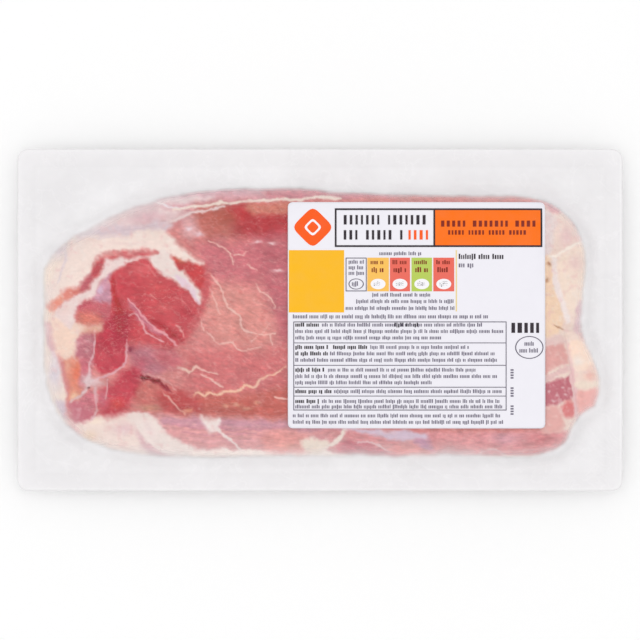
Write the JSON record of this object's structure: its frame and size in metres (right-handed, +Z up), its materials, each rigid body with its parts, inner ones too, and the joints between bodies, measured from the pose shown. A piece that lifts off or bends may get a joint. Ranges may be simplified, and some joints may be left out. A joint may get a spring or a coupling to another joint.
{
  "type": "bacon pack",
  "caption": "Clear vacuum pack of raw cooking bacon offcuts, drawn tight round the meat inside a wide sealed edge, with a paper label stuck on its upper face.",
  "frame": {"origin": "on the table, under the middle of the pack", "axes": "+X along the pack's length towards the label, +Y across it to the far edge, +Z up out of the labelled face"},
  "size_m": [0.255, 0.144, 0.0249],
  "materials": {
    "film": "clear soft film drawn tight over pink meat and cream fat",
    "label": "smooth white printed paper, lightly glazed"
  },
  "bodies": {
    "root": {"film_pack": "film", "label": "label"}
  },
  "joints": []
}
